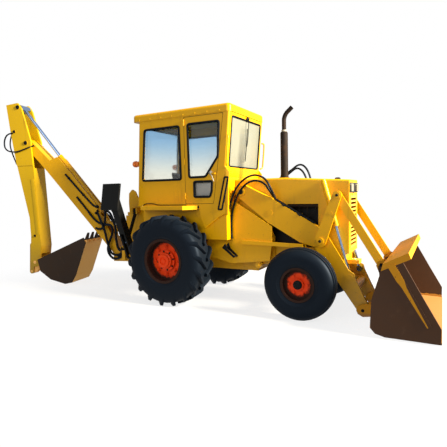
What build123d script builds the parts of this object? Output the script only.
"""Backhoe loader with a front bucket, a rear hoe, a cab and four wheels.

Frame: +X runs forward, +Y to the machine's left, +Z up, in millimetres. The ground is Z = 0 and the
origin is under the middle of the whole machine. Lengths below are given from the rear axle (x) and
from the swing axis (s, rearwards), as on the machine itself.
"""
from build123d import *
from math import cos, hypot, radians, sin
import os

# Driving dimensions: wheels
REAR_AXLE_X = 76
WHEELBASE = 1954
REAR_R = 658
REAR_OUT = 979
REAR_WIDTH = 398
FRONT_R = 460
FRONT_OUT = 872
FRONT_WIDTH = 274
KINGPIN_Y = 540
LUGS = 15

# Driving dimensions: body
HOOD_HALF = 285
HOOD_NOSE_X = 2467
HOOD_NOSE_Z = 1752
HOOD_REAR_Z = 1806
COWL_X = 856
CAB_HALF = 585
CAB_LOW_HALF = 545
CAB_REAR_X = -700
CAB_TOP = 2735
ROOF_TOP = 2849
SILL_Z = 1455
WALL = 30
FENDER_OUT = 760

# Driving dimensions: loader, side view
ARM_PIN = (1000, 1622)
CRANK_PIN = (2130, 965)
BUCKET_PIN = (2660, 112)
LEVER = (215, 590)
TRUNNION_SHARE = 0.62
DUMP_EYE = (2491, 509)
LIFT_BASE = (1240, 590)
LIFT_EYE = (1431, 1331)
ARM_Y = (312, 372)
DUMP_Y = 327
LINK_Y = (368, 392)
LEVER_Y = (398, 428)
BUCKET_HALF = 1040

# Driving dimensions: hoe, side view as (s, z) before the swing
SWING_X = -1350
SWING_DEG = 14
BOOM_FOOT = (190, 560)
BOOM_END = (1990, 2610)
BOOM_HALF = 116
BOOM_BASE_EYE = (20, 850)
BOOM_ROD_EYE = (853, 1375)
CROWD_BASE = (600, 1345)
CROWD_EYE = (2120, 3262)
CURL_BASE = (2220, 2827)
ROCKER_PIN = (1900, 900)
ROCKER = (150, -190)
HOE_BUCKET_PIN = (1935, 400)
HOE_BUCKET_HALF = 270
HOE_PLATE = 30
HOE_GAP = 7

# Driving dimensions: stabilisers, rear view as (y, z)
LEG_X = -1000
LEG_PIN = (450, 620)
LEG_EYE = (540, 853)
LEG_TOP = (820, 1580)
LEG_BASE = (300, 1350)

PIN_GAP = 0.3
os.makedirs("parts", exist_ok=True)

# Link points that follow from the driving dimensions
LINK_TOP = (CRANK_PIN[0] + LEVER[0], CRANK_PIN[1] + LEVER[1])
LINK_LOW = (BUCKET_PIN[0] + LEVER[0], BUCKET_PIN[1] + LEVER[1])
TRUNNION = (CRANK_PIN[0] + LEVER[0] * TRUNNION_SHARE, CRANK_PIN[1] + LEVER[1] * TRUNNION_SHARE)
ROCKER_END = (ROCKER_PIN[0] + ROCKER[0], ROCKER_PIN[1] + ROCKER[1])
COUPLER_LOW = (HOE_BUCKET_PIN[0] + ROCKER[0], HOE_BUCKET_PIN[1] + ROCKER[1])
DIPPER_IN = BOOM_HALF + HOE_GAP
DIPPER_HALF = DIPPER_IN + HOE_PLATE
SIDES = (-1, 1)


# Helpers: solids from side-view points, boxes, round bars
def span(side, a, b):
    """Two y values on one side of the machine, low one first."""
    return (a, b) if side > 0 else (-b, -a)


def prism(points, y0, y1, mode=Mode.ADD, radius=0):
    """A plate with a side-view outline between two y values, its corners rounded where a radius is given."""
    plane = Plane(origin=(REAR_AXLE_X, y1, 0), x_dir=(1, 0, 0), z_dir=(0, -1, 0))
    with BuildSketch(plane) as outline:
        with BuildLine():
            Polyline(*points, close=True)
        make_face()
        if radius:
            fillet(outline.vertices(), radius)
    extrude(to_extrude=outline.sketch, amount=y1 - y0, mode=mode)


def cross(points, x0, x1, mode=Mode.ADD, radius=0):
    """A plate with a rear-view (y, z) outline between two x values, its corners rounded where a radius is given."""
    plane = Plane(origin=(REAR_AXLE_X + x0, 0, 0), x_dir=(0, 1, 0), z_dir=(1, 0, 0))
    with BuildSketch(plane) as outline:
        with BuildLine():
            Polyline(*points, close=True)
        make_face()
        if radius:
            fillet(outline.vertices(), radius)
    extrude(to_extrude=outline.sketch, amount=x1 - x0, mode=mode)


def plan(points, z0, z1, mode=Mode.ADD):
    """A plate with a plan-view (x, y) outline between two heights."""
    with BuildSketch(Plane.XY.offset(z0)) as outline:
        with BuildLine():
            Polyline(*[(REAR_AXLE_X + x, y) for x, y in points], close=True)
        make_face()
    extrude(to_extrude=outline.sketch, amount=z1 - z0, mode=mode)


def block(x0, x1, y0, y1, z0, z1, mode=Mode.ADD):
    with Locations((REAR_AXLE_X + (x0 + x1) / 2, (y0 + y1) / 2, (z0 + z1) / 2)):
        Box(x1 - x0, y1 - y0, z1 - z0, mode=mode)


def bar_y(point, radius, y0, y1, mode=Mode.ADD):
    """A round bar along Y at a side-view point."""
    with Locations(Location((REAR_AXLE_X + point[0], (y0 + y1) / 2, point[1]), (90, 0, 0))):
        Cylinder(radius, y1 - y0, mode=mode)


def bar_x(point, radius, x0, x1, mode=Mode.ADD):
    """A round bar along X at a rear-view (y, z) point."""
    with Locations(Location((REAR_AXLE_X + (x0 + x1) / 2, point[0], point[1]), (0, 90, 0))):
        Cylinder(radius, x1 - x0, mode=mode)


def bar_z(x, y, radius, z0, z1, mode=Mode.ADD):
    with Locations((REAR_AXLE_X + x, y, (z0 + z1) / 2)):
        Cylinder(radius, z1 - z0, mode=mode)


def bar(start, end, radius, mode=Mode.ADD):
    """A round bar between two (x, y, z) points."""
    axis = Vector(*end) - Vector(*start)
    origin = (REAR_AXLE_X + start[0], start[1], start[2])
    with Locations(Plane(origin=origin, z_dir=axis).location):
        Cylinder(radius, axis.length, align=(Align.CENTER, Align.CENTER, Align.MIN), mode=mode)


def along(start, end, distance):
    """The side-view point a distance from start towards end."""
    length = hypot(end[0] - start[0], end[1] - start[1])
    share = distance / length
    return (start[0] + (end[0] - start[0]) * share, start[1] + (end[1] - start[1]) * share)


def hoe(point):
    """A hoe point (s, z) as a side-view point (x, z)."""
    return (SWING_X - point[0], point[1])


def hoes(points):
    return [hoe(point) for point in points]


def strap(start, end, r0, r1, y0, y1):
    """A flat bar with round ends between two side-view points."""
    length = hypot(end[0] - start[0], end[1] - start[1])
    nx = -(end[1] - start[1]) / length
    nz = (end[0] - start[0]) / length
    edge = [(start[0] + nx * r0, start[1] + nz * r0), (end[0] + nx * r1, end[1] + nz * r1),
            (end[0] - nx * r1, end[1] - nz * r1), (start[0] - nx * r0, start[1] - nz * r0)]
    prism(edge, y0, y1)
    bar_y(start, r0, y0, y1)
    bar_y(end, r1, y0, y1)


def swung(straight):
    """The same solids turned about the swing axis to the pose of the hoe."""
    with BuildPart() as turned:
        with Locations(Location((REAR_AXLE_X + SWING_X, 0, 0), (0, 0, SWING_DEG))):
            with Locations((-REAR_AXLE_X - SWING_X, 0, 0)):
                add(straight.part)
    return turned



# Main frame: two rails, transmission housing, front bolster with a tow pin bore
with BuildPart() as main_frame:
    for side in SIDES:
        y0, y1 = span(side, 200, 270)
        block(-880, 2380, y0, y1, 640, 860)
        for x in (-500, 650):
            block(x, x + 70, y0, y1, 860, 950)
    block(300, 1180, -230, 230, 480, 880)
    block(2240, 2400, -285, 285, 600, 800)
    block(2400, 2560, -90, 90, 640, 690)
    bar_z(2515, 0, 16, 600, 720, mode=Mode.SUBTRACT)
    block(WHEELBASE - 94, WHEELBASE + 96, -225, 225, 540, 640)
    block(-880, -800, -225, 225, 660, 800)
    bar_y((0, REAR_R), 106, -300, 300, mode=Mode.SUBTRACT)
main_frame.part.label = "main_frame"
export_step(main_frame.part, "parts/main_frame.step")

# Rear axle: differential housing, tubes, hub flanges and wheel stubs
with BuildPart() as rear_axle:
    bar_y((0, REAR_R), 105, -560, 560)
    block(-190, 299, -170, 170, 500, 599)
    bar_y((0, REAR_R), 175, -150, 150)
    for side in SIDES:
        y0, y1 = span(side, 560, 690)
        bar_y((0, REAR_R), 140, y0, y1)
        y0, y1 = span(side, 690, 800)
        bar_y((0, REAR_R), 45, y0, y1)
    block(-190, 190, -195, 195, 590, 740)
rear_axle.part.label = "rear_axle"
export_step(rear_axle.part, "parts/rear_axle.step")

# Front axle: beam under the frame with a fork and kingpin at each end
with BuildPart() as front_axle:
    block(WHEELBASE - 70, WHEELBASE + 70, -470, 470, 410, 535)
    for side in SIDES:
        y0, y1 = span(side, 430, KINGPIN_Y + 40)
        block(WHEELBASE - 50, WHEELBASE + 50, y0, y1, 545, 585)
        block(WHEELBASE - 50, WHEELBASE + 50, y0, y1, 335, 375)
        y0, y1 = span(side, 430, 470)
        block(WHEELBASE - 50, WHEELBASE + 50, y0, y1, 335, 585)
        bar_z(WHEELBASE, side * KINGPIN_Y, 24, 335, 600)
    block(WHEELBASE - 60, WHEELBASE + 60, -90, 90, 500, 540)
front_axle.part.label = "front_axle"
export_step(front_axle.part, "parts/front_axle.step")

# Knuckles: sleeve on the kingpin and a spindle out to the wheel
with BuildPart() as knuckle_right:
    bar_z(WHEELBASE, -KINGPIN_Y, 52, 381, 539)
    bar_y((WHEELBASE, FRONT_R), 40, -790, -KINGPIN_Y)
    block(WHEELBASE - 170, WHEELBASE, -KINGPIN_Y - 25, -KINGPIN_Y + 25, 392, 422)
    bar_z(WHEELBASE, -KINGPIN_Y, 24 + PIN_GAP, 300, 600, mode=Mode.SUBTRACT)
knuckle_right.part.label = "knuckle_right"
export_step(knuckle_right.part, "parts/knuckle_right.step")

with BuildPart() as knuckle_left:
    mirror(knuckle_right.part, about=Plane.XZ)
knuckle_left.part.label = "knuckle_left"
export_step(knuckle_left.part, "parts/knuckle_left.step")

# Rear tyre: carcass with two rows of slanted lugs, built about the wheel centre
with BuildPart() as rear_carcass:
    half = REAR_WIDTH / 2
    with BuildSketch(Plane.YZ):
        with BuildLine():
            Polyline((-half + 40, 306), (-half + 6, 400), (-half, REAR_R - 178), (-half + 14, REAR_R - 88),
                     (-half + 40, REAR_R - 53), (half - 40, REAR_R - 53), (half - 14, REAR_R - 88),
                     (half, REAR_R - 178), (half - 6, 400), (half - 40, 306), close=True)
        make_face()
    revolve(axis=Axis.Y)
    reach = (REAR_R ** 2 - 95 ** 2) ** 0.5
    for row in SIDES:
        for i in range(LUGS):
            turn = 360 / LUGS * (i + (0.5 if row > 0 else 0))
            with Locations(Location((0, 0, 0), (0, turn, 0))):
                with Locations(Location((0, row * 96, reach - 40), (0, 0, row * 42))):
                    Box(56, 214, 80)

with BuildPart() as rear_tyre_right:
    with Locations((REAR_AXLE_X, -REAR_OUT + REAR_WIDTH / 2, REAR_R)):
        add(rear_carcass.part)
rear_tyre_right.part.label = "rear_tyre_right"
export_step(rear_tyre_right.part, "parts/rear_tyre_right.step")

with BuildPart() as rear_tyre_left:
    mirror(rear_tyre_right.part, about=Plane.XZ)
rear_tyre_left.part.label = "rear_tyre_left"
export_step(rear_tyre_left.part, "parts/rear_tyre_left.step")

# Rear rim: flanged ring, disc and hub with wheel bolts
with BuildPart() as rear_rim_right:
    out = -REAR_OUT
    bar_y((0, REAR_R), 306, out + 24, out + 374)
    bar_y((0, REAR_R), 322, out + 24, out + 34)
    bar_y((0, REAR_R), 322, out + 364, out + 374)
    bar_y((0, REAR_R), 286, out, out + 400, mode=Mode.SUBTRACT)
    bar_y((0, REAR_R), 290, out + 150, out + 170)
    bar_y((0, REAR_R), 130, out + 120, out + 268)
    bar_y((0, REAR_R), 45 + PIN_GAP, out + 176, out + 300, mode=Mode.SUBTRACT)
    for i in range(8):
        turn = radians(45 * i)
        bar_y((200 * cos(turn), REAR_R + 200 * sin(turn)), 16, out + 130, out + 152)
rear_rim_right.part.label = "rear_rim_right"
export_step(rear_rim_right.part, "parts/rear_rim_right.step")

with BuildPart() as rear_rim_left:
    mirror(rear_rim_right.part, about=Plane.XZ)
rear_rim_left.part.label = "rear_rim_left"
export_step(rear_rim_left.part, "parts/rear_rim_left.step")

# Front tyre: smooth carcass with ring grooves, built about the wheel centre
with BuildPart() as front_carcass:
    half = FRONT_WIDTH / 2
    with BuildSketch(Plane.YZ):
        with BuildLine():
            Polyline((-half + 34, 206), (-half + 4, 290), (-half, 350), (-half + 16, 410), (-half + 42, 446),
                     (-half + 66, 455), (-half + 72, 446), (-half + 84, 446), (-half + 90, FRONT_R),
                     (half - 90, FRONT_R), (half - 84, 446), (half - 72, 446), (half - 66, 455),
                     (half - 42, 446), (half - 16, 410), (half, 350), (half - 4, 290), (half - 34, 206),
                     close=True)
        make_face()
    revolve(axis=Axis.Y)

with BuildPart() as front_tyre_right:
    with Locations((REAR_AXLE_X + WHEELBASE, -FRONT_OUT + FRONT_WIDTH / 2, FRONT_R)):
        add(front_carcass.part)
front_tyre_right.part.label = "front_tyre_right"
export_step(front_tyre_right.part, "parts/front_tyre_right.step")

with BuildPart() as front_tyre_left:
    mirror(front_tyre_right.part, about=Plane.XZ)
front_tyre_left.part.label = "front_tyre_left"
export_step(front_tyre_left.part, "parts/front_tyre_left.step")

# Front rim: flanged ring, disc and hub cap
with BuildPart() as front_rim_right:
    out = -FRONT_OUT
    hub = (WHEELBASE, FRONT_R)
    bar_y(hub, 206, out + 18, out + 256)
    bar_y(hub, 218, out + 18, out + 28)
    bar_y(hub, 218, out + 246, out + 256)
    bar_y(hub, 190, out, out + 280, mode=Mode.SUBTRACT)
    bar_y(hub, 194, out + 90, out + 106)
    bar_y(hub, 72, out + 56, out + 200)
    bar_y(hub, 40 + PIN_GAP, out + 76, out + 280, mode=Mode.SUBTRACT)
    for i in range(6):
        turn = radians(60 * i)
        bar_y((WHEELBASE + 118 * cos(turn), FRONT_R + 118 * sin(turn)), 12, out + 74, out + 92)
front_rim_right.part.label = "front_rim_right"
export_step(front_rim_right.part, "parts/front_rim_right.step")

with BuildPart() as front_rim_left:
    mirror(front_rim_right.part, about=Plane.XZ)
front_rim_left.part.label = "front_rim_left"
export_step(front_rim_left.part, "parts/front_rim_left.step")

# Engine: one plain block on the rails
with BuildPart() as engine:
    block(1200, 2060, -190, 190, 760, 1400)
    block(2060, 2200, -230, 230, 860, 1560)
    block(1180, 1200, -120, 120, 800, 1000)
engine.part.label = "engine"
export_step(engine.part, "parts/engine.step")

# Hood: bonnet shell over the engine with a nose housing down to the bolster
with BuildPart() as hood:
    shell = 14
    top = [(COWL_X, 1180), (COWL_X, HOOD_REAR_Z), (1620, HOOD_REAR_Z), (HOOD_NOSE_X, HOOD_NOSE_Z),
           (HOOD_NOSE_X, 800), (2072, 800), (2072, 1445), (1645, 1445), (1645, 1180)]
    prism(top, -HOOD_HALF, HOOD_HALF)
    fillet(hood.edges().filter_by(lambda edge: abs(edge.center().Y) > HOOD_HALF - 1
                                  and edge.center().Z > HOOD_NOSE_Z - 10), 28)
    room = [(COWL_X + shell, 700), (COWL_X + shell, HOOD_REAR_Z - shell), (1620, HOOD_REAR_Z - shell),
            (HOOD_NOSE_X - shell, HOOD_NOSE_Z - shell), (HOOD_NOSE_X - shell, 700)]
    prism(room, -HOOD_HALF + shell, HOOD_HALF - shell, mode=Mode.SUBTRACT)
    block(HOOD_NOSE_X - 40, HOOD_NOSE_X + 40, -215, 215, 860, 1545, mode=Mode.SUBTRACT)
hood.part.label = "hood"
export_step(hood.part, "parts/hood.step")

# Grille: frame and bars in the nose, and two head lamps above it
with BuildPart() as grille:
    block(HOOD_NOSE_X - 14, HOOD_NOSE_X + 6, -215, 215, 860, 1545)
    block(HOOD_NOSE_X - 30, HOOD_NOSE_X + 30, -190, 190, 890, 1515, mode=Mode.SUBTRACT)
    for i in range(11):
        z = 920 + 54 * i
        block(HOOD_NOSE_X - 10, HOOD_NOSE_X, -190, 190, z, z + 24)
    cross([(-265, 1585), (265, 1585), (265, 1715), (-265, 1715)], HOOD_NOSE_X, HOOD_NOSE_X + 8, radius=20)
    block(HOOD_NOSE_X, HOOD_NOSE_X + 6, -30, 30, 1545, 1600)
grille.part.label = "grille"
export_step(grille.part, "parts/grille.step")

with BuildPart() as head_lamps:
    for side in SIDES:
        y0, y1 = span(side, 110, 250)
        cross([(y0, 1600), (y1, 1600), (y1, 1700), (y0, 1700)], HOOD_NOSE_X + 8, HOOD_NOSE_X + 26, radius=22)
head_lamps.part.label = "head_lamps"
export_step(head_lamps.part, "parts/head_lamps.step")

with BuildPart() as rear_lamps:
    for side in SIDES:
        bar_x((side * 540, 2096), 42, CAB_REAR_X - 50, CAB_REAR_X + 20)
    fillet(rear_lamps.faces().filter_by(Axis.X).group_by(Axis.X)[0].edges(), 16)
rear_lamps.part.label = "rear_lamps"
export_step(rear_lamps.part, "parts/rear_lamps.step")

# Exhaust stack: muffler, pipe and bent tip above the hood
with BuildPart() as exhaust_stack:
    bar_z(1549, -120, 52, HOOD_REAR_Z, 2432)
    x, y, bend = REAR_AXLE_X + 1549, -120, 160
    with BuildLine():
        pipe = Line((x, y, 2420), (x, y, 2600))
        mid, end = radians(25), radians(50)
        elbow = ThreePointArc(pipe @ 1, (x + bend * (1 - cos(mid)), y, 2600 + bend * sin(mid)),
                              (x + bend * (1 - cos(end)), y, 2600 + bend * sin(end)))
        Line(elbow @ 1, elbow @ 1 + 80 * (elbow % 1))
    with BuildSketch(Plane(origin=(x, y, 2420), z_dir=(0, 0, 1))):
        Circle(30)
    sweep()
    with Locations(Plane(origin=elbow @ 1 + 80 * (elbow % 1), z_dir=elbow % 1).location):
        Cylinder(25, 120, mode=Mode.SUBTRACT)
exhaust_stack.part.label = "exhaust_stack"
export_step(exhaust_stack.part, "parts/exhaust_stack.step")

# Loader frame: tower plates, posts, outer side panels and the sloping rail
with BuildPart() as loader_frame:
    for side in SIDES:
        y0, y1 = span(side, HOOD_HALF, 307)
        prism([(860, 600), (1460, 600), (1460, 1000), (1120, 1690), (1040, 1720), (900, 1720), (860, 1500)], y0, y1)
        y0, y1 = span(side, 270, 307)
        block(870, 1450, y0, y1, 600, 760)
        y0, y1 = span(side, 300, 405)
        block(850, 900, y0, y1, 600, 1490)
        y0, y1 = span(side, 397, 405)
        prism([(860, 600), (1420, 660), (1460, 900), (1460, 1140), (900, 1490), (850, 1490)], y0, y1)
        y0, y1 = span(side, 397, 430)
        prism([(1010, 880), (1900, 870), (1900, 915), (1010, 940)], y0, y1)
        y0, y1 = span(side, 300, 410)
        bar_y(ARM_PIN, 35, y0, y1)
        bar_y(LIFT_BASE, 22, y0, y1)
        y0, y1 = span(side, 396, 412)
        bar_y(ARM_PIN, 55, y0, y1)
        block(1850, 1900, *span(side, 200, 420), 860, 905)
loader_frame.part.label = "loader_frame"
export_step(loader_frame.part, "parts/loader_frame.step")

# Loader arms: two box arms with a slot for the lift rods, joined by a cross tube
with BuildPart() as loader_arms:
    beam = [(925, 1640), (960, 1700), (1060, 1715), (1470, 1517), (2100, 1150), (2215, 1035), (2170, 920),
            (2040, 885), (1846, 939), (1392, 1200), (960, 1545)]
    leg = [(2100, 1150), (2215, 1035), (2480, 600), (2545, 560), (2560, 500), (2725, 150), (2600, 75), (2040, 880)]
    ux, uz = (0.829, -0.559)
    fan = [(-60, -60), (105, -60), (200, 260), (-330, 260)]
    slot = [(LIFT_EYE[0] + a * ux + b * uz, LIFT_EYE[1] + a * uz - b * ux) for a, b in fan]
    notch = [(2400, 400), (2620, 400), (2560, 640), (2260, 1200), (2080, 1200)]
    for side in SIDES:
        prism(beam, *span(side, 312, 392))
        bar_y(ARM_PIN, 92, *span(side, 312, 392))
        prism(leg, *span(side, *ARM_Y))
        bar_y(BUCKET_PIN, 78, *span(side, *ARM_Y))
        prism(slot, *span(side, 320, 384), mode=Mode.SUBTRACT)
        prism(notch, *span(side, DUMP_Y - 30, DUMP_Y + 23), mode=Mode.SUBTRACT)
        bar_y(DUMP_EYE, 42, *span(side, 366, 378))
        bar_y(LIFT_EYE, 40, *span(side, 388, 398))
        bar_y(ARM_PIN, 35 + PIN_GAP, *span(side, 300, 400), mode=Mode.SUBTRACT)
        bar_y(CRANK_PIN, 28 + PIN_GAP, *span(side, 300, 400), mode=Mode.SUBTRACT)
        bar_y(BUCKET_PIN, 30 + PIN_GAP, *span(side, 300, 400), mode=Mode.SUBTRACT)
    bar_y((2530, 350), 60, -320, 320)
loader_arms.part.label = "loader_arms"
export_step(loader_arms.part, "parts/loader_arms.step")

# Bell-cranks: one lever on each arm, with bores for the dump trunnions
with BuildPart() as bellcranks:
    for side in SIDES:
        y0, y1 = span(side, *LEVER_Y)
        strap(CRANK_PIN, LINK_TOP, 76, 58, y0, y1)
        bar_y(TRUNNION, 24 + PIN_GAP, y0, y1, mode=Mode.SUBTRACT)
        bar_y(CRANK_PIN, 28, *span(side, ARM_Y[0] - 6, LEVER_Y[1]))
        bar_y(LINK_TOP, 26, *span(side, LINK_Y[0] - 4, LEVER_Y[1]))
        bar_y(CRANK_PIN, 46, *span(side, LEVER_Y[1], LEVER_Y[1] + 12))
        bar_y(LINK_TOP, 42, *span(side, LEVER_Y[1], LEVER_Y[1] + 12))
bellcranks.part.label = "bellcranks"
export_step(bellcranks.part, "parts/bellcranks.step")

# Bucket links: from the lever tops to the bucket ears
with BuildPart() as bucket_links:
    for side in SIDES:
        y0, y1 = span(side, *LINK_Y)
        strap(LINK_TOP, LINK_LOW, 50, 50, y0, y1)
        bar_y(LINK_TOP, 26 + PIN_GAP, y0, y1, mode=Mode.SUBTRACT)
        bar_y(LINK_LOW, 30 + PIN_GAP, y0, y1, mode=Mode.SUBTRACT)
bucket_links.part.label = "bucket_links"
export_step(bucket_links.part, "parts/bucket_links.step")

# Loader bucket: open shell with cheek plates, cutting edge, spill guard and hinge ears
with BuildPart() as loader_bucket:
    back = [(2945, 740), (2850, 420), (2836, 110), (2890, 50), (2990, 24), (3530, 20), (3536, 36), (3000, 52),
            (2906, 76), (2862, 130), (2876, 420), (2970, 735)]
    prism(back, -BUCKET_HALF, BUCKET_HALF)
    cheek = [(2945, 740), (2850, 420), (2836, 110), (2890, 50), (2990, 24), (3530, 20), (3530, 180), (3370, 465),
             (3150, 870), (2980, 800)]
    guard = [(2945, 740), (2970, 735), (3170, 850), (3240, 885), (3215, 950), (2965, 820)]
    ear = [(2860, 210), (2660, 192), (2600, 160), (2580, 112), (2600, 64), (2660, 32), (2845, 60), (2880, 240),
           (2890, 480), (2960, 700), (2950, 742), (2880, 760), (2830, 740), (2815, 690), (2850, 600)]
    for side in SIDES:
        prism(cheek, *span(side, BUCKET_HALF - 24, BUCKET_HALF))
        prism([(3010, 800), (3080, 830), (3440, 200), (3380, 170)], *span(side, BUCKET_HALF - 24, BUCKET_HALF + 6))
        for y0, y1 in ((278, 307), (LEVER_Y[0], LEVER_Y[0] + 20)):
            prism(ear, *span(side, y0, y1))
        bar_y(BUCKET_PIN, 30, *span(side, 278, LEVER_Y[0] + 20))
        bar_y(LINK_LOW, 30, *span(side, 278, LEVER_Y[0] + 20))
    prism(guard, -BUCKET_HALF, BUCKET_HALF)
loader_bucket.part.label = "loader_bucket"
export_step(loader_bucket.part, "parts/loader_bucket.step")

# Dump cylinders: barrels hung in the levers, rods down to the arms
with BuildPart() as dump_barrels:
    for side in SIDES:
        mid = side * DUMP_Y
        low = along(TRUNNION, DUMP_EYE, 180)
        high = along(TRUNNION, DUMP_EYE, -440)
        end = along(TRUNNION, DUMP_EYE, -410)
        beyond = along(TRUNNION, DUMP_EYE, 300)
        bar((low[0], mid, low[1]), (high[0], mid, high[1]), 36)
        bar_y(TRUNNION, 24, *span(side, DUMP_Y, LEVER_Y[1] + 4))
        bar((beyond[0], mid, beyond[1]), (end[0], mid, end[1]), 19 + PIN_GAP, mode=Mode.SUBTRACT)
dump_barrels.part.label = "dump_barrels"
export_step(dump_barrels.part, "parts/dump_barrels.step")

with BuildPart() as dump_rods:
    for side in SIDES:
        mid = side * DUMP_Y
        tip = along(DUMP_EYE, TRUNNION, 930)
        bar((DUMP_EYE[0], mid, DUMP_EYE[1]), (tip[0], mid, tip[1]), 19)
        bar_y(DUMP_EYE, 38, *span(side, DUMP_Y - 22, DUMP_Y + 22.5))
dump_rods.part.label = "dump_rods"
export_step(dump_rods.part, "parts/dump_rods.step")

# Lift cylinders: between the tower plates and the slots of the arms
with BuildPart() as lift_barrels:
    for side in SIDES:
        mid = side * 352
        top = along(LIFT_BASE, LIFT_EYE, 690)
        seat = along(LIFT_BASE, LIFT_EYE, 45)
        beyond = along(LIFT_BASE, LIFT_EYE, 900)
        bar((LIFT_BASE[0], mid, LIFT_BASE[1]), (top[0], mid, top[1]), 29)
        bar_y(LIFT_BASE, 45, *span(side, 312, 392))
        bar((seat[0], mid, seat[1]), (beyond[0], mid, beyond[1]), 17 + PIN_GAP, mode=Mode.SUBTRACT)
        bar_y(LIFT_BASE, 22 + PIN_GAP, *span(side, 300, 400), mode=Mode.SUBTRACT)
lift_barrels.part.label = "lift_barrels"
export_step(lift_barrels.part, "parts/lift_barrels.step")

with BuildPart() as lift_rods:
    for side in SIDES:
        mid = side * 352
        tip = along(LIFT_EYE, LIFT_BASE, 705)
        bar((LIFT_EYE[0], mid, LIFT_EYE[1]), (tip[0], mid, tip[1]), 17)
        bar_y(LIFT_EYE, 34, *span(side, 320.5, 383.5))
lift_rods.part.label = "lift_rods"
export_step(lift_rods.part, "parts/lift_rods.step")

# Hoe frame: cross box, stabiliser brackets, column and the two swing bearing plates
with BuildPart() as hoe_frame:
    block(-1150, -880, -330, 330, 420, 800)
    block(-1140, -880, -230, 230, 800, 1400)
    for z0, z1 in ((400, 450), (1265, 1315)):
        plan([(-1100, -200), (-1380, -70), (-1420, 0), (-1380, 70), (-1100, 200)], z0, z1)
        bar_z(SWING_X, 0, 70, z0, z1)
        bar_z(SWING_X, 0, 40 + PIN_GAP, z0 - 20, z1 + 20, mode=Mode.SUBTRACT)
    for side in SIDES:
        for x0, x1 in ((-1150, -1090), (-910, -880)):
            block(x0, x1, *span(side, 300, 510), 540, 700)
        bar_x((side * LEG_PIN[0], LEG_PIN[1]), 26, -1160, -870)
        for x0, x1 in ((-1060, -1032), (-968, -940)):
            block(x0, x1, *span(side, 200, 345), 1300, 1400)
        bar_x((side * LEG_BASE[0], LEG_BASE[1]), 20, -1070, -930)
        upright = [(-1150, 800), (-1190, 1480), (-1180, 1640), (-1110, 1710), (-1040, 1670), (-880, 1330), (-880, 800)]
        prism(upright, *span(side, 226, 248), radius=24)
hoe_frame.part.label = "hoe_frame"
export_step(hoe_frame.part, "parts/hoe_frame.step")

# Stabilisers: two-plate leg with a ground pad, barrel and rod
LEG_LEN = hypot(LEG_TOP[0] - LEG_PIN[0], LEG_TOP[1] - LEG_PIN[1])


def leg_edge(width, start, stop):
    """Rear-view outline of the leg, given along and across its own line."""
    uy, uz = (LEG_TOP[0] - LEG_PIN[0]) / LEG_LEN, (LEG_TOP[1] - LEG_PIN[1]) / LEG_LEN
    ends = ((start, -width), (stop, -width), (stop, width), (start, width))
    return [(LEG_PIN[0] + a * uy - b * uz, LEG_PIN[1] + a * uz + b * uy) for a, b in ends]


def pad_edge(near, far, reach):
    """Rear-view outline of the ground pad, square to its lowered position."""
    ny, nz = cos(radians(10)), sin(radians(10))
    ends = ((near, -reach), (far, -reach), (far, reach), (near, reach))
    return [(LEG_TOP[0] + a * ny - b * nz, LEG_TOP[1] + a * nz + b * ny) for a, b in ends]


with BuildPart() as stabiliser_leg_left:
    for x0, x1 in ((-1060, -1030), (-970, -940)):
        cross(leg_edge(60, 0, LEG_LEN), x0, x1)
        bar_x(LEG_PIN, 62, x0, x1)
    cross(leg_edge(60, 420, LEG_LEN - 40), -1040, -960)
    cross(leg_edge(60, LEG_LEN - 160, LEG_LEN + 40), -1060, -940)
    cross(pad_edge(40, 75, 205), -1170, -830)
    cross(pad_edge(-60, 45, 60), -1060, -940)
    bar_x(LEG_PIN, 26 + PIN_GAP, -1200, -800, mode=Mode.SUBTRACT)
stabiliser_leg_left.part.label = "stabiliser_leg_left"
export_step(stabiliser_leg_left.part, "parts/stabiliser_leg_left.step")

with BuildPart() as stabiliser_leg_right:
    mirror(stabiliser_leg_left.part, about=Plane.XZ)
stabiliser_leg_right.part.label = "stabiliser_leg_right"
export_step(stabiliser_leg_right.part, "parts/stabiliser_leg_right.step")

with BuildPart() as stabiliser_barrel_left:
    low = along(LEG_BASE, LEG_EYE, 500)
    seat = along(LEG_BASE, LEG_EYE, 45)
    beyond = along(LEG_BASE, LEG_EYE, 700)
    bar((LEG_X, *LEG_BASE), (LEG_X, *low), 27)
    bar_x(LEG_BASE, 40, LEG_X - 27, LEG_X + 27)
    bar((LEG_X, *seat), (LEG_X, *beyond), 16 + PIN_GAP, mode=Mode.SUBTRACT)
    bar_x(LEG_BASE, 20 + PIN_GAP, LEG_X - 40, LEG_X + 40, mode=Mode.SUBTRACT)
stabiliser_barrel_left.part.label = "stabiliser_barrel_left"
export_step(stabiliser_barrel_left.part, "parts/stabiliser_barrel_left.step")

with BuildPart() as stabiliser_barrel_right:
    mirror(stabiliser_barrel_left.part, about=Plane.XZ)
stabiliser_barrel_right.part.label = "stabiliser_barrel_right"
export_step(stabiliser_barrel_right.part, "parts/stabiliser_barrel_right.step")

with BuildPart() as stabiliser_rod_left:
    tip = along(LEG_EYE, LEG_BASE, 495)
    bar((LEG_X, *LEG_EYE), (LEG_X, *tip), 16)
    bar_x(LEG_EYE, 32, LEG_X - 29, LEG_X + 29)
stabiliser_rod_left.part.label = "stabiliser_rod_left"
export_step(stabiliser_rod_left.part, "parts/stabiliser_rod_left.step")

with BuildPart() as stabiliser_rod_right:
    mirror(stabiliser_rod_left.part, about=Plane.XZ)
stabiliser_rod_right.part.label = "stabiliser_rod_right"
export_step(stabiliser_rod_right.part, "parts/stabiliser_rod_right.step")

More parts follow.
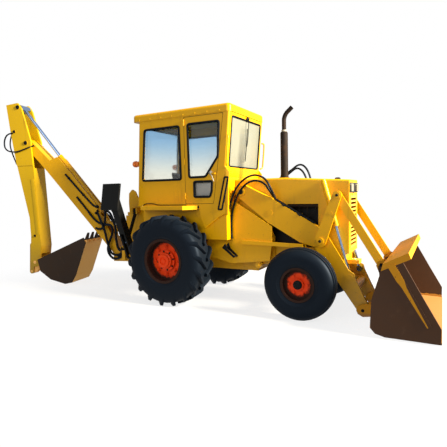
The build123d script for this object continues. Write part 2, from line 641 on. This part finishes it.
# Swing post: trunnion pins in the bearing plates, boom fork and a slot for the boom cylinder
with BuildPart() as straight_post:
    block(SWING_X - 60, SWING_X + 60, -100, 100, 456, 1259)
    block(SWING_X - 90, SWING_X + 40, -62, 62, 740, 1010, mode=Mode.SUBTRACT)
    bar_z(SWING_X, 0, 40, 395, 500)
    bar_z(SWING_X, 0, 40, 1200, 1320)
    fork = hoes([(-60, 456), (300, 456), (300, 620), (240, 660), (60, 760), (-60, 760)])
    for side in SIDES:
        prism(fork, *span(side, BOOM_HALF + HOE_GAP, BOOM_HALF + HOE_GAP + HOE_PLATE))
        prism(hoes([(-60, 456), (60, 456), (60, 760), (-60, 760)]), *span(side, 90, BOOM_HALF + HOE_GAP + 10))
    bar_y(hoe(BOOM_FOOT), 38, -BOOM_HALF - HOE_GAP - 44, BOOM_HALF + HOE_GAP + 44)
    bar_y(hoe(BOOM_BASE_EYE), 28, -112, 112)
swing_post = swung(straight_post)
swing_post.part.label = "swing_post"
export_step(swing_post.part, "parts/swing_post.step")

# Boom: deep channel of two side plates and a floor, closed to a box at both ends
BOOM_LEN = hypot(BOOM_END[0] - BOOM_FOOT[0], BOOM_END[1] - BOOM_FOOT[1])
BOOM_U = ((BOOM_END[0] - BOOM_FOOT[0]) / BOOM_LEN, (BOOM_END[1] - BOOM_FOOT[1]) / BOOM_LEN)
BOOM_PLATE = 25
SHOULDER = 2120


def on_boom(distance, offset):
    """A hoe point given along the boom and off its line, up and forward positive."""
    return (BOOM_FOOT[0] + distance * BOOM_U[0] - offset * BOOM_U[1],
            BOOM_FOOT[1] + distance * BOOM_U[1] + offset * BOOM_U[0])


with BuildPart() as straight_boom:
    shape = [(0, -80), (500, -72), (SHOULDER, -60), (BOOM_LEN, -75), (BOOM_LEN, 75), (SHOULDER + 60, 118),
             (SHOULDER, 270), (SHOULDER - 60, 284), (1000, 255), (640, 170), (330, 105), (0, 80)]
    room = [(400, -46), (SHOULDER - 60, -36), (SHOULDER - 60, 124), (SHOULDER + 90, 124), (SHOULDER + 90, 420),
            (400, 420)]
    inside = BOOM_HALF - BOOM_PLATE
    prism(hoes([on_boom(a, n) for a, n in shape]), -BOOM_HALF, BOOM_HALF)
    bar_y(hoe(BOOM_FOOT), 80, -BOOM_HALF, BOOM_HALF)
    bar_y(hoe(BOOM_END), 75, -BOOM_HALF, BOOM_HALF)
    prism(hoes([on_boom(a, n) for a, n in room]), -inside, inside, mode=Mode.SUBTRACT)
    bar_y(hoe(CROWD_BASE), 26, -BOOM_HALF - 8, BOOM_HALF + 8)
    for side in SIDES:
        bar_y(hoe(CROWD_BASE), 46, *span(side, 54, inside + 5))
        bar_y(hoe(BOOM_ROD_EYE), 44, *span(side, BOOM_HALF - 5, BOOM_HALF + 8))
    bar_y(hoe(BOOM_FOOT), 38 + PIN_GAP, -BOOM_HALF - 20, BOOM_HALF + 20, mode=Mode.SUBTRACT)
    bar_y(hoe(BOOM_END), 36 + PIN_GAP, -BOOM_HALF - 20, BOOM_HALF + 20, mode=Mode.SUBTRACT)
boom = swung(straight_boom)
boom.part.label = "boom"
export_step(boom.part, "parts/boom.step")

# Boom cylinder: from the post down into the boom's channel
with BuildPart() as straight_boom_barrel:
    base, eye = hoe(BOOM_BASE_EYE), hoe(BOOM_ROD_EYE)
    end, seat, beyond = along(base, eye, 700), along(base, eye, 60), along(base, eye, 900)
    bar((base[0], 0, base[1]), (end[0], 0, end[1]), 42)
    bar_y(base, 46, -56, 56)
    bar((seat[0], 0, seat[1]), (beyond[0], 0, beyond[1]), 24 + PIN_GAP, mode=Mode.SUBTRACT)
    bar_y(base, 28 + PIN_GAP, -70, 70, mode=Mode.SUBTRACT)
boom_barrel = swung(straight_boom_barrel)
boom_barrel.part.label = "boom_barrel"
export_step(boom_barrel.part, "parts/boom_barrel.step")

with BuildPart() as straight_boom_rod:
    tip = along(eye, base, 780)
    bar((eye[0], 0, eye[1]), (tip[0], 0, tip[1]), 24)
    bar_y(eye, 46, -inside + 4, inside - 4)
boom_rod = swung(straight_boom_rod)
boom_rod.part.label = "boom_rod"
export_step(boom_rod.part, "parts/boom_rod.step")

# Crowd cylinder: in the boom's channel, pushing the dipper's upper end
with BuildPart() as straight_crowd_barrel:
    base, eye = hoe(CROWD_BASE), hoe(CROWD_EYE)
    end, seat, beyond = along(base, eye, 1290), along(base, eye, 60), along(base, eye, 1600)
    bar((base[0], 0, base[1]), (end[0], 0, end[1]), 48)
    bar_y(base, 52, -44, 44)
    bar((seat[0], 0, seat[1]), (beyond[0], 0, beyond[1]), 27 + PIN_GAP, mode=Mode.SUBTRACT)
    bar_y(base, 26 + PIN_GAP, -60, 60, mode=Mode.SUBTRACT)
crowd_barrel = swung(straight_crowd_barrel)
crowd_barrel.part.label = "crowd_barrel"
export_step(crowd_barrel.part, "parts/crowd_barrel.step")

with BuildPart() as straight_crowd_rod:
    tip = along(eye, base, 1400)
    bar((eye[0], 0, eye[1]), (tip[0], 0, tip[1]), 27)
    bar_y(eye, 52, -BOOM_HALF, BOOM_HALF)
crowd_rod = swung(straight_crowd_rod)
crowd_rod.part.label = "crowd_rod"
export_step(crowd_rod.part, "parts/crowd_rod.step")

# Dipper: two side plates, doubled round the boom pin and closed in front below it
with BuildPart() as straight_dipper:
    shape = [(2370, 3315), (2125, 3340), (2050, 3230), (1890, 2640), (1885, 2450), (1862, 2150), (1790, 700),
             (1836, 400), (1870, 330), (1935, 310), (2000, 330), (2030, 400), (1996, 880), (2004, 1230),
             (2210, 2190), (2310, 2830)]
    double = [(2370, 3315), (2125, 3340), (2050, 3230), (1890, 2640), (1885, 2450), (1866, 2200), (2212, 2200),
              (2310, 2830)]
    face = [(1862, 2150), (1790, 700), (1812, 560), (1834, 560), (1812, 700), (1884, 2150)]
    for side in SIDES:
        prism(hoes(shape), *span(side, DIPPER_IN, DIPPER_HALF))
        prism(hoes(double), *span(side, DIPPER_HALF, DIPPER_HALF + 8))
        bar_y(hoe(BOOM_END), 36, *span(side, 0, DIPPER_HALF + 16))
        bar_y(hoe(CURL_BASE), 26, *span(side, 0, DIPPER_HALF + 16))
        bar_y(hoe(CROWD_EYE), 40, *span(side, DIPPER_HALF, DIPPER_HALF + 16))
        bar_y(hoe(ROCKER_PIN), 26, *span(side, 20, DIPPER_HALF + 10))
        bar_y(hoe(HOE_BUCKET_PIN), 62, *span(side, DIPPER_HALF, DIPPER_HALF + 6))
    prism(hoes(face), -DIPPER_HALF, DIPPER_HALF)
    bar_y(hoe(HOE_BUCKET_PIN), 30 + PIN_GAP, -DIPPER_HALF - 20, DIPPER_HALF + 20, mode=Mode.SUBTRACT)
dipper = swung(straight_dipper)
dipper.part.label = "dipper"
export_step(dipper.part, "parts/dipper.step")

# Bucket cylinder: between the dipper plates, down to the rocker
with BuildPart() as straight_curl_barrel:
    base, eye = hoe(CURL_BASE), hoe(ROCKER_END)
    end, seat, beyond = along(base, eye, 1500), along(base, eye, 60), along(base, eye, 1700)
    bar((base[0], 0, base[1]), (end[0], 0, end[1]), 42)
    bar_y(base, 50, -60, 60)
    bar((seat[0], 0, seat[1]), (beyond[0], 0, beyond[1]), 24 + PIN_GAP, mode=Mode.SUBTRACT)
    bar_y(base, 26 + PIN_GAP, -80, 80, mode=Mode.SUBTRACT)
curl_barrel = swung(straight_curl_barrel)
curl_barrel.part.label = "curl_barrel"
export_step(curl_barrel.part, "parts/curl_barrel.step")

with BuildPart() as straight_curl_rod:
    tip = along(eye, base, 1000)
    bar((eye[0], 0, eye[1]), (tip[0], 0, tip[1]), 24)
    bar_y(eye, 44, -27, 27)
curl_rod = swung(straight_curl_rod)
curl_rod.part.label = "curl_rod"
export_step(curl_rod.part, "parts/curl_rod.step")

# Rocker and coupler: parallel to the bucket's own ear
with BuildPart() as straight_rocker:
    for side in SIDES:
        strap(hoe(ROCKER_PIN), hoe(ROCKER_END), 52, 48, *span(side, 30, 48))
        bar_y(hoe(ROCKER_END), 24, *span(side, 30, 78))
        bar_y(hoe(ROCKER_PIN), 26 + PIN_GAP, *span(side, 20, 60), mode=Mode.SUBTRACT)
bucket_rocker = swung(straight_rocker)
bucket_rocker.part.label = "bucket_rocker"
export_step(bucket_rocker.part, "parts/bucket_rocker.step")

with BuildPart() as straight_coupler:
    for side in SIDES:
        strap(hoe(ROCKER_END), hoe(COUPLER_LOW), 44, 44, *span(side, 54, 74))
        bar_y(hoe(ROCKER_END), 24 + PIN_GAP, *span(side, 40, 80), mode=Mode.SUBTRACT)
        bar_y(hoe(COUPLER_LOW), 24 + PIN_GAP, *span(side, 40, 80), mode=Mode.SUBTRACT)
bucket_coupler = swung(straight_coupler)
bucket_coupler.part.label = "bucket_coupler"
export_step(bucket_coupler.part, "parts/bucket_coupler.step")

# Hoe bucket: open shell, curled, with teeth on its lip and two ears
with BuildPart() as straight_hoe_bucket:
    outer = [(1790, 470), (823, 880), (770, 790), (1000, 200), (1087, 66), (1230, 36), (1530, 110), (1740, 260)]
    inner = [(1800, 530), (820, 960), (802, 790), (1024, 214), (1102, 88), (1230, 58), (1518, 130), (1716, 272),
             (1768, 470)]
    prism(hoes(outer), -HOE_BUCKET_HALF, HOE_BUCKET_HALF)
    prism(hoes(inner), -HOE_BUCKET_HALF + 22, HOE_BUCKET_HALF - 22, mode=Mode.SUBTRACT)
    for i in range(4):
        y = -225 + 150 * i
        prism(hoes([(810, 840), (775, 770), (735, 960), (745, 968)]), y - 30, y + 30)
    plate = [(1720, 300), (1790, 470), (1900, 480), (1990, 430), (2112, 260), (2136, 205), (2090, 162), (2030, 178),
             (1900, 300), (1800, 240)]
    for side in SIDES:
        prism(hoes(plate), *span(side, 24, 48))
        prism(hoes([(1720, 300), (1790, 470), (1935, 458), (1990, 400), (1935, 342), (1800, 250)]),
              *span(side, 48, 76))
    bar_y(hoe(HOE_BUCKET_PIN), 30, -DIPPER_HALF - 12, DIPPER_HALF + 12)
    for side in SIDES:
        bar_y(hoe(HOE_BUCKET_PIN), 50, *span(side, 70, DIPPER_IN - 6))
    bar_y(hoe(COUPLER_LOW), 24, -78, 78)
hoe_bucket = swung(straight_hoe_bucket)
hoe_bucket.part.label = "hoe_bucket"
export_step(hoe_bucket.part, "parts/hoe_bucket.step")

# Cab body: hollow shell with windows and door openings cut, on a narrower lower tub
SIDE_OUT = [(-715, SILL_Z), (845, SILL_Z), (850, 1830), (935, CAB_TOP), (-640, CAB_TOP)]
SIDE_IN = [(-684, 1400), (815, 1400), (820, 1830), (905, CAB_TOP + 40), (-610, CAB_TOP + 40)]
DOOR = [(190, 1470), (650, 1470), (662, 1520), (832, 2715), (190, 2715)]
DOOR_GAP = [(184, 1464), (655, 1464), (668, 1519), (839, 2721), (184, 2721)]
REAR_SIDE_WINDOW = [(-597, 1828), (116, 1826), (101, 2601), (-533, 2597)]
DOOR_WINDOW = [(258, 1849), (533, 1851), (740, 2127), (770, 2614), (250, 2614)]
SKIRT = [(408, SILL_Z), (845, SILL_Z), (845, 1330), (714, 1268), (504, 1118), (440, 1260)]
LOW_WINDOW = [(340, 1565), (600, 1565), (630, 1640), (640, 1784), (340, 1784)]


def grown(points, amount):
    """An outline moved outwards from its middle by about an amount."""
    mx = sum(x for x, _ in points) / len(points)
    mz = sum(z for _, z in points) / len(points)
    return [(x + (amount if x > mx else -amount), z + (amount if z > mz else -amount)) for x, z in points]


with BuildPart() as cab_body:
    prism(SIDE_OUT, -CAB_HALF, CAB_HALF)
    fillet(cab_body.edges().filter_by(lambda edge: abs(edge.center().Y) > CAB_HALF - 1
                                      and abs(edge.center().X - REAR_AXLE_X) > 600), 25)
    block(-715, 845, -CAB_HALF, CAB_HALF, SILL_Z - 15, SILL_Z + 5)
    block(-640, 840, -CAB_LOW_HALF, CAB_LOW_HALF, 950, SILL_Z)
    prism(SIDE_IN, -CAB_HALF + WALL, CAB_HALF - WALL, mode=Mode.SUBTRACT)
    block(-610, 810, -CAB_LOW_HALF + WALL, CAB_LOW_HALF - WALL, 980, SILL_Z + 20, mode=Mode.SUBTRACT)
    cross([(-500, 1850), (500, 1850), (500, 2680), (-500, 2680)], 740, 1000, mode=Mode.SUBTRACT, radius=60)
    cross([(-480, 1800), (480, 1800), (480, 2650), (-480, 2650)], -800, -560, mode=Mode.SUBTRACT, radius=60)
    for side in SIDES:
        prism(SKIRT, *span(side, CAB_LOW_HALF, CAB_HALF))
    prism(REAR_SIDE_WINDOW, -CAB_HALF - 10, CAB_HALF + 10, mode=Mode.SUBTRACT, radius=55)
    prism(DOOR_GAP, -CAB_HALF - 10, CAB_HALF + 10, mode=Mode.SUBTRACT, radius=16)
cab_body.part.label = "cab_body"
export_step(cab_body.part, "parts/cab_body.step")

# Cab roof: closed cap with rounded corners
with BuildPart() as cab_roof:
    block(-758, 950, -CAB_HALF - 7, CAB_HALF + 7, CAB_TOP, ROOF_TOP)
    fillet(cab_roof.edges().filter_by(Axis.Z), 60)
    fillet(cab_roof.faces().sort_by(Axis.Z)[-1].edges(), 45)
cab_roof.part.label = "cab_roof"
export_step(cab_roof.part, "parts/cab_roof.step")


def front_x(z):
    return 820 + (z - 1830) * 85 / (CAB_TOP + 40 - 1830)


def rear_x(z):
    return -684 + (z - 1400) * 74 / (CAB_TOP + 40 - 1400)


# Cab glass: windscreen, rear pane and the two rear side panes, set inside the walls
with BuildPart() as cab_glass:
    prism([(front_x(1836), 1836), (front_x(2694), 2694), (front_x(2694) - 6, 2694), (front_x(1836) - 6, 1836)],
          -515, 515)
    prism([(rear_x(1786), 1786), (rear_x(2664), 2664), (rear_x(2664) + 6, 2664), (rear_x(1786) + 6, 1786)],
          -495, 495)
    for side in SIDES:
        prism(grown(REAR_SIDE_WINDOW, 15), *span(side, CAB_HALF - WALL - 6, CAB_HALF - WALL))
cab_glass.part.label = "cab_glass"
export_step(cab_glass.part, "parts/cab_glass.step")

# Doors: framed panel with two windows, hinged at the rear edge, glass inside
with BuildPart() as door_right:
    prism(DOOR, -CAB_HALF, -CAB_HALF + WALL, radius=14)
    prism(DOOR_WINDOW, -CAB_HALF - 10, -CAB_HALF + WALL + 10, mode=Mode.SUBTRACT, radius=50)
    prism(LOW_WINDOW, -CAB_HALF - 10, -CAB_HALF + WALL + 10, mode=Mode.SUBTRACT, radius=28)
    block(640, 700, -CAB_HALF - 26, -CAB_HALF, 1880, 1900)
door_right.part.label = "door_right"
export_step(door_right.part, "parts/door_right.step")

with BuildPart() as door_left:
    mirror(door_right.part, about=Plane.XZ)
door_left.part.label = "door_left"
export_step(door_left.part, "parts/door_left.step")

with BuildPart() as door_glass_right:
    prism(grown(DOOR_WINDOW, 12), -CAB_HALF + WALL, -CAB_HALF + WALL + 5)
    prism(grown(LOW_WINDOW, 12), -CAB_HALF + WALL, -CAB_HALF + WALL + 5)
door_glass_right.part.label = "door_glass_right"
export_step(door_glass_right.part, "parts/door_glass_right.step")

with BuildPart() as door_glass_left:
    mirror(door_glass_right.part, about=Plane.XZ)
door_glass_left.part.label = "door_glass_left"
export_step(door_glass_left.part, "parts/door_glass_left.step")

# Fenders: short flat shelf with a turned-down lip over each rear tyre
with BuildPart() as fenders:
    lip = 14
    for side in SIDES:
        shelf = [(-611, side * CAB_HALF), (-520, side * FENDER_OUT), (240, side * FENDER_OUT), (383, side * CAB_HALF)]
        under = [(-611 + 2 * lip, side * CAB_HALF), (-520 + lip, side * (FENDER_OUT - lip)),
                 (240 - lip, side * (FENDER_OUT - lip)), (383 - 2 * lip, side * CAB_HALF)]
        plan(shelf, 1382, 1440)
        plan(under, 1370, 1440 - lip, mode=Mode.SUBTRACT)
        block(-560, 380, *span(side, CAB_LOW_HALF, CAB_HALF), 1440 - lip, 1440)
fenders.part.label = "fenders"
export_step(fenders.part, "parts/fenders.step")

# Side boxes: battery and tool boxes between the loader tower and the rear wheels
with BuildPart() as side_boxes:
    box_edge = [(440, 949), (440, 700), (526, 664), (849, 592), (849, 949)]
    for side in SIDES:
        prism(box_edge, *span(side, 270, 400), radius=12)
side_boxes.part.label = "side_boxes"
export_step(side_boxes.part, "parts/side_boxes.step")

# Steps: a bracket with two rungs on each side panel
with BuildPart() as steps:
    bracket = [(735, 830), (790, 895), (822, 815), (940, 712), (922, 692), (780, 800)]
    for side in SIDES:
        prism(bracket, *span(side, 405, 413))
        prism(bracket, *span(side, 505, 513))
        for rung in ((772, 842), (918, 712)):
            bar_y(rung, 12, *span(side, 405, 513))
steps.part.label = "steps"
export_step(steps.part, "parts/steps.step")

# Operator's place: seat, steering column and the hoe's control console
with BuildPart() as seat:
    block(-150, 150, -120, 120, 980, 1330)
    block(-230, 260, -240, 240, 1330, 1430)
    prism([(-260, 1400), (-160, 1400), (-240, 1960), (-330, 1960)], -230, 230)
seat.part.label = "seat"
export_step(seat.part, "parts/seat.step")

with BuildPart() as steering_column:
    bar((714, 0, 1000), (513, 0, 1707), 32)
    axis = Vector(-200, 0, 710)
    with Locations(Plane(origin=(REAR_AXLE_X + 515, 0, 1700), z_dir=axis).location):
        Torus(190, 14)
        Box(380, 26, 16)
    block(600, 809, -170, 170, 980, 1500)
steering_column.part.label = "steering_column"
export_step(steering_column.part, "parts/steering_column.step")

with BuildPart() as hoe_console:
    block(-600, -460, -260, 260, 980, 1500)
    for i in range(4):
        y = -180 + 120 * i
        bar((-520, y, 1490), (-490, y, 1720), 10)
        with Locations((REAR_AXLE_X - 490, y, 1730)):
            Sphere(22)
hoe_console.part.label = "hoe_console"
export_step(hoe_console.part, "parts/hoe_console.step")
